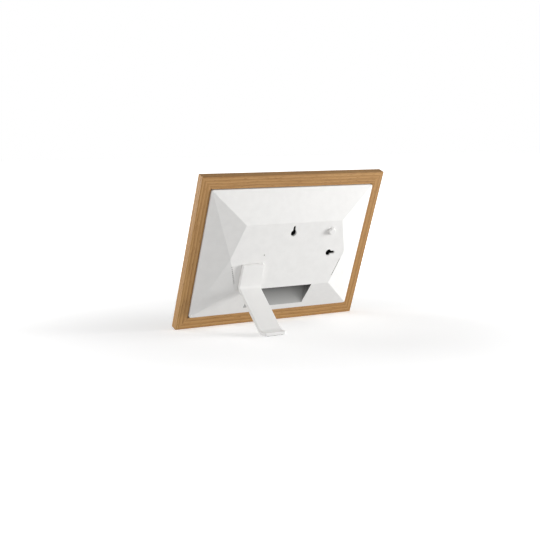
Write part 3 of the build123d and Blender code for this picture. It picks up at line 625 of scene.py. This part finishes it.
def round_edges(bm, edges, radius, segments):
    """Rounds edges to a radius, or grinds them to a flat where segments is 1."""
    bmesh.ops.bevel(
        bm,
        geom=edges,
        offset=radius,
        offset_type="OFFSET",
        affect="EDGES",
        segments=segments,
        profile=0.5,
        material=-1,
        clamp_overlap=True,
    )


def long_edges(bm, direction, limit=1e-4):
    """The edges that run along a direction."""
    found = []
    for edge in bm.edges:
        run = (edge.verts[1].co - edge.verts[0].co).normalized()
        if run.cross(direction).length < limit:
            found.append(edge)
    return found


def wood_member(node, quarter, length, half_span, back_w):
    """A mitred length of rebated oak with eased arrises. It is made as the top member, its
    outer side at y = half_span, then turned to its own side of the frame."""
    bm = bmesh.new()
    outline = (
        (half_span, 0),
        (half_span, -WOOD_T),
        (half_span - FACE_W, -WOOD_T),
        (half_span - FACE_W, LIP_T - WOOD_T),
        (half_span - back_w, LIP_T - WOOD_T),
        (half_span - back_w, 0),
    )
    section = bm.faces.new([bm.verts.new((-length / 2, y, z)) for y, z in outline])
    swept = bmesh.ops.extrude_face_region(bm, geom=[section])["geom"]
    moved = [v for v in swept if isinstance(v, bmesh.types.BMVert)]
    bmesh.ops.translate(bm, verts=moved, vec=(length, 0, 0))
    runs = long_edges(bm, Vector((1, 0, 0)))
    outer = [e for e in runs if e.verts[0].co.y > half_span - NEAR]
    inner = [e for e in runs if e.verts[0].co.y < half_span - FACE_W + NEAR]
    lip = [e for e in inner if e.verts[0].co.z < NEAR - WOOD_T]
    round_edges(bm, outer, WOOD_EDGE_R, 4)
    round_edges(bm, lip, OPENING_EDGE_R, 3)
    for end in (1, -1):
        corner = Vector((end * length / 2, half_span, 0))
        mitre = Vector((end, -1, 0)).normalized()
        cut = bmesh.ops.bisect_plane(
            bm,
            geom=bm.verts[:] + bm.edges[:] + bm.faces[:],
            plane_co=corner,
            plane_no=mitre,
            clear_outer=True,
        )
        rim = [e for e in cut["geom_cut"] if isinstance(e, bmesh.types.BMEdge)]
        bmesh.ops.edgenet_fill(bm, edges=rim)
    turned = FRAMED @ Matrix.Rotation(math.radians(quarter), 4, "Z")
    finish_piece(bm, node + "_oak", rail_oak[node], "frame", node, turned)


wood_member("top_rail", 0, WOOD_W, WOOD_H / 2, RAIL_BACK_W)
wood_member("bottom_rail", 180, WOOD_W, WOOD_H / 2, RAIL_BACK_W)
wood_member("left_stile", 90, WOOD_H, WOOD_W / 2, STILE_BACK_W)
wood_member("right_stile", -90, WOOD_H, WOOD_W / 2, STILE_BACK_W)


def glass_pane():
    """The float glass, its edges ground to a small flat."""
    width = (glass_high[0] - glass_low[0]) / MM
    height = ((glass_high[2] - glass_low[2]) / MM + GLASS_T * OUT.z) / UP.z
    bm = bmesh.new()
    bmesh.ops.create_cube(bm, size=1)
    bmesh.ops.scale(bm, vec=(width, height, GLASS_T), verts=bm.verts)
    bmesh.ops.translate(bm, vec=(0, 0, GLASS_MIDDLE_Z), verts=bm.verts)
    round_edges(bm, bm.edges[:], GLASS_GROUND, 1)
    finish_piece(bm, "glass_pane", window_glass(), "frame", "front_glass")


glass_pane()


def wire_path(bm, points, arcs):
    """Joins points with edges and rounds the listed corners; arcs gives corner: radius."""
    made = [bm.verts.new(point) for point in points]
    places = [Vector(point) for point in points]
    for first, second in zip(made, made[1:]):
        bm.edges.new((first, second))
    for corner, radius in arcs.items():
        before = places[corner - 1] - places[corner]
        turn = math.pi - before.angle(places[corner + 1] - places[corner])
        bmesh.ops.bevel(
            bm,
            geom=[made[corner]],
            offset=radius * math.tan(turn / 2),
            offset_type="OFFSET",
            affect="VERTICES",
            segments=ARC_STEPS,
            profile=0.5,
            material=-1,
        )


def sharp_edges(bm, angle):
    """The edges where two faces turn by more than an angle, degrees."""
    return [e for e in bm.edges if e.is_manifold and e.calc_face_angle() > math.radians(angle)]


def strut():
    """The bent strap: plate, leg and foot in one, its corners and edges rounded."""
    low, high = (Vector(corner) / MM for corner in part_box("stand_leg"))
    top = (FRAMED @ Vector((0, STRAP_TOP_Y, STRAP_REAR_Z))) / MM
    bend = (FRAMED @ Vector((0, STRAP_BEND_Y, STRAP_REAR_Z))) / MM
    foot_y = bend.y + (bend.z - FOOT_TOP) / math.tan(math.radians(LEG_SLOPE))
    line = [(low.x, top.y, top.z), (low.x, bend.y, bend.z)]
    line += [(low.x, foot_y, FOOT_TOP), (low.x, high.y, FOOT_TOP)]
    bm = bmesh.new()
    wire_path(bm, line, {1: STRAP_BEND_R, 2: FOOT_BEND_R})
    ribbon = bmesh.ops.extrude_edge_only(bm, edges=bm.edges[:])["geom"]
    across = [v for v in ribbon if isinstance(v, bmesh.types.BMVert)]
    bmesh.ops.translate(bm, verts=across, vec=(STRAP_W, 0, 0))
    bmesh.ops.recalc_face_normals(bm, faces=bm.faces)
    plate = max(bm.faces, key=lambda face: face.calc_center_median().z)
    if plate.normal.dot(OUT) < 0:
        bmesh.ops.reverse_faces(bm, faces=bm.faces)
    bmesh.ops.solidify(bm, geom=bm.faces[:], thickness=STRAP_T)
    bmesh.ops.recalc_face_normals(bm, faces=bm.faces)
    tip = [e for e in long_edges(bm, Vector((0, 0, 1))) if e.verts[0].co.y > high.y - NEAR]
    round_edges(bm, tip, FOOT_CORNER_R, 6)
    square = [e for e in long_edges(bm, OUT, 1e-3) if e.calc_length() > STRAP_T - NEAR]
    head = [e for e in square if min(v.co.z for v in e.verts) > top.z - 2 * STRAP_T]
    round_edges(bm, head, PLATE_CORNER_R, 4)
    round_edges(bm, sharp_edges(bm, 50), STRAP_EDGE_R, 3)
    finish_piece(bm, "strut_strap", smooth_abs, "strut", "stand_leg", SCALED)


strut()


def turned_piece(name, material, body, spot, profile, arcs, node=None):
    """A round piece, spun from its half section of (radius, z) points, at a spot of the back."""
    bm = bmesh.new()
    wire_path(bm, [(radius, 0, z) for radius, z in profile], arcs)
    bmesh.ops.spin(
        bm,
        geom=bm.verts[:] + bm.edges[:],
        cent=(0, 0, 0),
        axis=(0, 0, 1),
        angle=math.tau,
        steps=SPIN_STEPS,
        use_merge=True,
    )
    bmesh.ops.remove_doubles(bm, verts=bm.verts, dist=1e-4)
    place = FRAMED @ Matrix.Translation((*spot, 0))
    finish_piece(bm, name, material, body, node, place)


turned_piece(
    "strut_spigot",
    smooth_abs,
    "strut",
    PIVOT,
    [(0, SPIGOT_Z[0]), (SPIGOT_R, SPIGOT_Z[0]), (SPIGOT_R, SPIGOT_Z[1]), (0, SPIGOT_Z[1])],
    {1: 0.4},
)
turned_piece(
    "power_button_cap",
    smooth_abs,
    "power_button",
    BUTTON_SPOT,
    [
        (0, BUTTON_STEM_Z),
        (BUTTON_STEM_R, BUTTON_STEM_Z),
        (BUTTON_STEM_R, BUTTON_FLANGE_Z - BUTTON_FLANGE_T),
        (BUTTON_FLANGE_R, BUTTON_FLANGE_Z - BUTTON_FLANGE_T),
        (BUTTON_FLANGE_R, BUTTON_FLANGE_Z),
        (BUTTON_R, BUTTON_FLANGE_Z),
        (BUTTON_R, BUTTON_TOP_Z),
        (BUTTON_R - BUTTON_RIM, BUTTON_TOP_Z),
        (0, BUTTON_TOP_Z - BUTTON_DISH),
    ],
    {6: 0.8, 7: 0.5},
    "power_button",
)


def foot_pad():
    """The soft sole under the foot: a small rounded bar with grooves across it."""
    low, high = (Vector(corner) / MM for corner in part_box("foot_pad"))
    size = high - low
    bm = bmesh.new()
    bmesh.ops.create_cube(bm, size=1)
    bmesh.ops.scale(bm, vec=size, verts=bm.verts)
    bmesh.ops.translate(bm, vec=(low + high) / 2, verts=bm.verts)
    round_edges(bm, long_edges(bm, Vector((0, 0, 1))), PAD_CORNER_R, 5)
    step = size.x / (PAD_GROOVES + 1)
    for k in range(1, PAD_GROOVES + 1):
        for side in (-PAD_GROOVE_W / 2, PAD_GROOVE_W / 2):
            bmesh.ops.bisect_plane(
                bm,
                geom=bm.verts[:] + bm.edges[:] + bm.faces[:],
                plane_co=(low.x + k * step + side, 0, 0),
                plane_no=(1, 0, 0),
            )
    sole = []
    for face in bm.faces:
        middle = face.calc_center_median()
        along = (middle.x - low.x) / step
        near = abs(along - round(along)) * step < PAD_GROOVE_W / 2
        if face.normal.z < -0.9 and near and 0 < round(along) <= PAD_GROOVES:
            sole.append(face)
    grooves = bmesh.ops.extrude_discrete_faces(bm, faces=sole)["faces"]
    lifted = {v for face in grooves for v in face.verts}
    bmesh.ops.translate(bm, vec=(0, 0, PAD_GROOVE_DEPTH), verts=list(lifted))
    finish_piece(bm, "foot_sole", sole_rubber, "strut", "foot_pad", SCALED)


foot_pad()


# Floor, light and camera -------------------------------------------------------------------

floor_bm = bmesh.new()
bmesh.ops.create_grid(floor_bm, x_segments=1, y_segments=1, size=FLOOR_HALF)
floor_mesh = bpy.data.meshes.new("floor")
floor_bm.to_mesh(floor_mesh)
floor_bm.free()
floor = bpy.data.objects.new("floor", floor_mesh)
bpy.context.scene.collection.objects.link(floor)
floor.visible_diffuse = False
paper, paper_tree, paper_shader = start("white_paper_sweep", Roughness=0.9, Specular_IOR_Level=0.2)
paper_shader.inputs["Base Color"].default_value = colour("#F6F6F6")
# lit from behind, more so away from the object, so that it runs out into the white around it
paper_at = add(paper_tree, "TexCoord").outputs["Object"]
away = add(paper_tree, "VectorMath", {"operation": "LENGTH"}, {0: paper_at})
glow = add(
    paper_tree,
    "MapRange",
    {"interpolation_type": "SMOOTHSTEP"},
    {
        "Value": away.outputs["Value"],
        "From Min": GLOW_NEAR,
        "From Max": GLOW_FAR,
        "To Min": GLOW_LOW,
        "To Max": 1.0,
    },
)
paper_shader.inputs["Emission Color"].default_value = (1, 1, 1, 1)
paper_tree.links.new(glow.outputs["Result"], paper_shader.inputs["Emission Strength"])
floor_mesh.materials.append(paper)


def softbox(name, towards, power):
    """A square soft light, at the lamps' distance from the object in a direction."""
    lamp = bpy.data.lights.new(name, "AREA")
    lamp.shape = "SQUARE"
    lamp.size = LAMP_SIZE
    lamp.energy = power
    holder = bpy.data.objects.new(name, lamp)
    way = Vector(towards).normalized()
    holder.location = AIM + way * LAMP_AWAY
    holder.rotation_euler = way.to_track_quat("Z", "Y").to_euler()
    bpy.context.scene.collection.objects.link(holder)


softbox("key_right", (-0.9, 0.42, 0.05), 42)
softbox("side_right", (-1.0, 0.12, 0.15), 7)
softbox("rim_left", (0.54, -0.83, 0.25), 11)
softbox("fill_left", (1.0, 0.15, 0.15), 8)

world = bpy.data.worlds.new("studio")
bpy.context.scene.world = world
world.use_nodes = True
sky = world.node_tree
around = sky.nodes["Background"]
height = add(
    sky,
    "SeparateXYZ",
    links={"Vector": add(sky, "TexCoord").outputs["Generated"]},
)
tent = add(
    sky,
    "MapRange",
    links={
        "Value": height.outputs["Z"],
        "From Min": -HORIZON,
        "From Max": HORIZON,
        "To Min": FROM_BELOW,
        "To Max": FROM_ABOVE,
    },
)
level = add(
    sky,
    "Mix",
    {"data_type": "FLOAT"},
    {0: add(sky, "LightPath").outputs["Is Camera Ray"], 2: tent.outputs["Result"], 3: 1.0},
)
around.inputs["Color"].default_value = (1, 1, 1, 1)
sky.links.new(level.outputs[0], around.inputs["Strength"])

view = bpy.context.scene.view_settings
view.view_transform = "Standard"

camera_data = bpy.data.cameras.new("camera")
camera_data.sensor_width = 36.0
camera_data.lens = LENS
camera = bpy.data.objects.new("camera", camera_data)
camera.location = CAMERA_AT
camera.rotation_euler = (math.radians(90 - CAMERA_TIPPED), 0, math.radians(CAMERA_ROUND))
bpy.context.scene.collection.objects.link(camera)
bpy.context.scene.camera = camera
